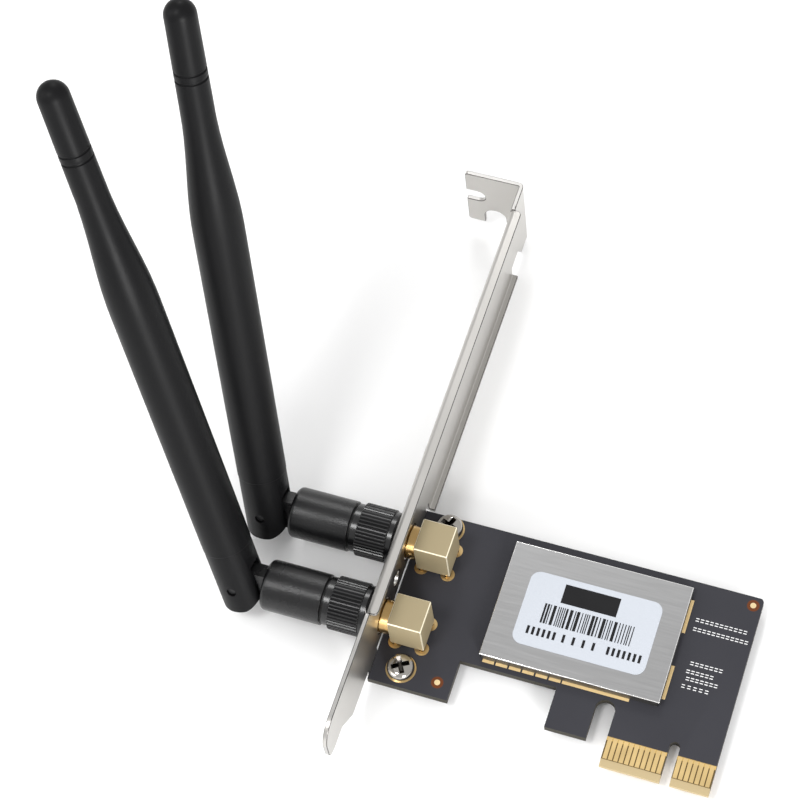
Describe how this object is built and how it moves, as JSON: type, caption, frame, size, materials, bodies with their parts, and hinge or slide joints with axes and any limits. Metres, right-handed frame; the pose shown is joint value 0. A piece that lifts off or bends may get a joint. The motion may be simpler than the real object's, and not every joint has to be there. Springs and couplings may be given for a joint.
{
  "type": "wireless network card",
  "caption": "Short expansion card with a folded metal bracket, a shielded radio on a dark board, and slim black folding antennas on screw-on elbows.",
  "frame": {"origin": "centre of the key notch on the finger edge, at the middle of the board's thickness", "axes": "+X along the card away from the bracket, +Y up the card from the finger edge, +Z out of the component side"},
  "size_m": [0.1289, 0.12, 0.1081],
  "materials": {
    "board": "solder mask on laminate",
    "gold": "gold plate",
    "tin": "satin tin plate",
    "label": "paper",
    "chip": "moulded resin",
    "ceramic": "ceramic",
    "solder": "bright solder",
    "bracket": "bright nickel plate",
    "screw": "nickel plate",
    "jack": "pale gold plate",
    "insulator": "white resin",
    "brass": "plain",
    "black_plastic": "fine grained",
    "cable": "cable jacket",
    "pin_steel": "plain"
  },
  "bodies": {
    "card": {"circuit_board": "board", "edge_contacts_front": "gold", "edge_contacts_back": "gold", "fiducial_dots": "gold", "screw_lands": "gold", "jack_lands": "gold", "shield_lands": "gold", "shield_can": "tin", "shield_label": "label", "radio_chip": "chip", "amplifier_chips": "chip", "crystal": "tin", "inductors": "chip", "capacitors": "ceramic", "jack_solder": "solder", "bracket": "bracket", "bracket_screws": "screw", "jack_body_upper": "jack", "jack_insulator_upper": "insulator", "jack_pin_upper": "gold", "coupling_nut_upper": "black_plastic", "plug_ferrule_upper": "brass", "plug_insulator_upper": "insulator", "plug_socket_upper": "gold", "jack_body_lower": "jack", "jack_insulator_lower": "insulator", "jack_pin_lower": "gold", "coupling_nut_lower": "black_plastic", "plug_ferrule_lower": "brass", "plug_insulator_lower": "insulator", "plug_socket_lower": "gold"},
    "elbow_arm_upper": {"elbow_upper": "black_plastic", "elbow_feed_upper": "cable"},
    "antenna_upper": {"hinge_pin_upper": "pin_steel", "knuckle_upper": "black_plastic", "rod_sleeve_upper": "black_plastic", "radiator_upper": "brass", "rod_feed_upper": "cable"},
    "elbow_arm_lower": {"elbow_lower": "black_plastic", "elbow_feed_lower": "cable"},
    "antenna_lower": {"hinge_pin_lower": "pin_steel", "knuckle_lower": "black_plastic", "rod_sleeve_lower": "black_plastic", "radiator_lower": "brass", "rod_feed_lower": "cable"}
  },
  "joints": [
    {"name": "swivel_upper", "type": "hinge", "parent": "card", "child": "elbow_arm_upper", "pos_m": [-0.08596, 0.03056, 0.00553], "axis": [1, 0, 0], "range_deg": [-178, 0]},
    {"name": "tilt_upper", "type": "hinge", "parent": "elbow_arm_upper", "child": "antenna_upper", "pos_m": [-0.08596, 0.03056, 0.00553], "axis": [0, -0.9265, 0.3762], "range_deg": [-8.9, 81.1]},
    {"name": "swivel_lower", "type": "hinge", "parent": "card", "child": "elbow_arm_lower", "pos_m": [-0.08596, 0.01495, 0.00553], "axis": [1, 0, 0], "range_deg": [0, 178]},
    {"name": "tilt_lower", "type": "hinge", "parent": "elbow_arm_lower", "child": "antenna_lower", "pos_m": [-0.08596, 0.01495, 0.00553], "axis": [0, -0.9354, 0.3535], "range_deg": [-17.5, 72.5]}
  ]
}
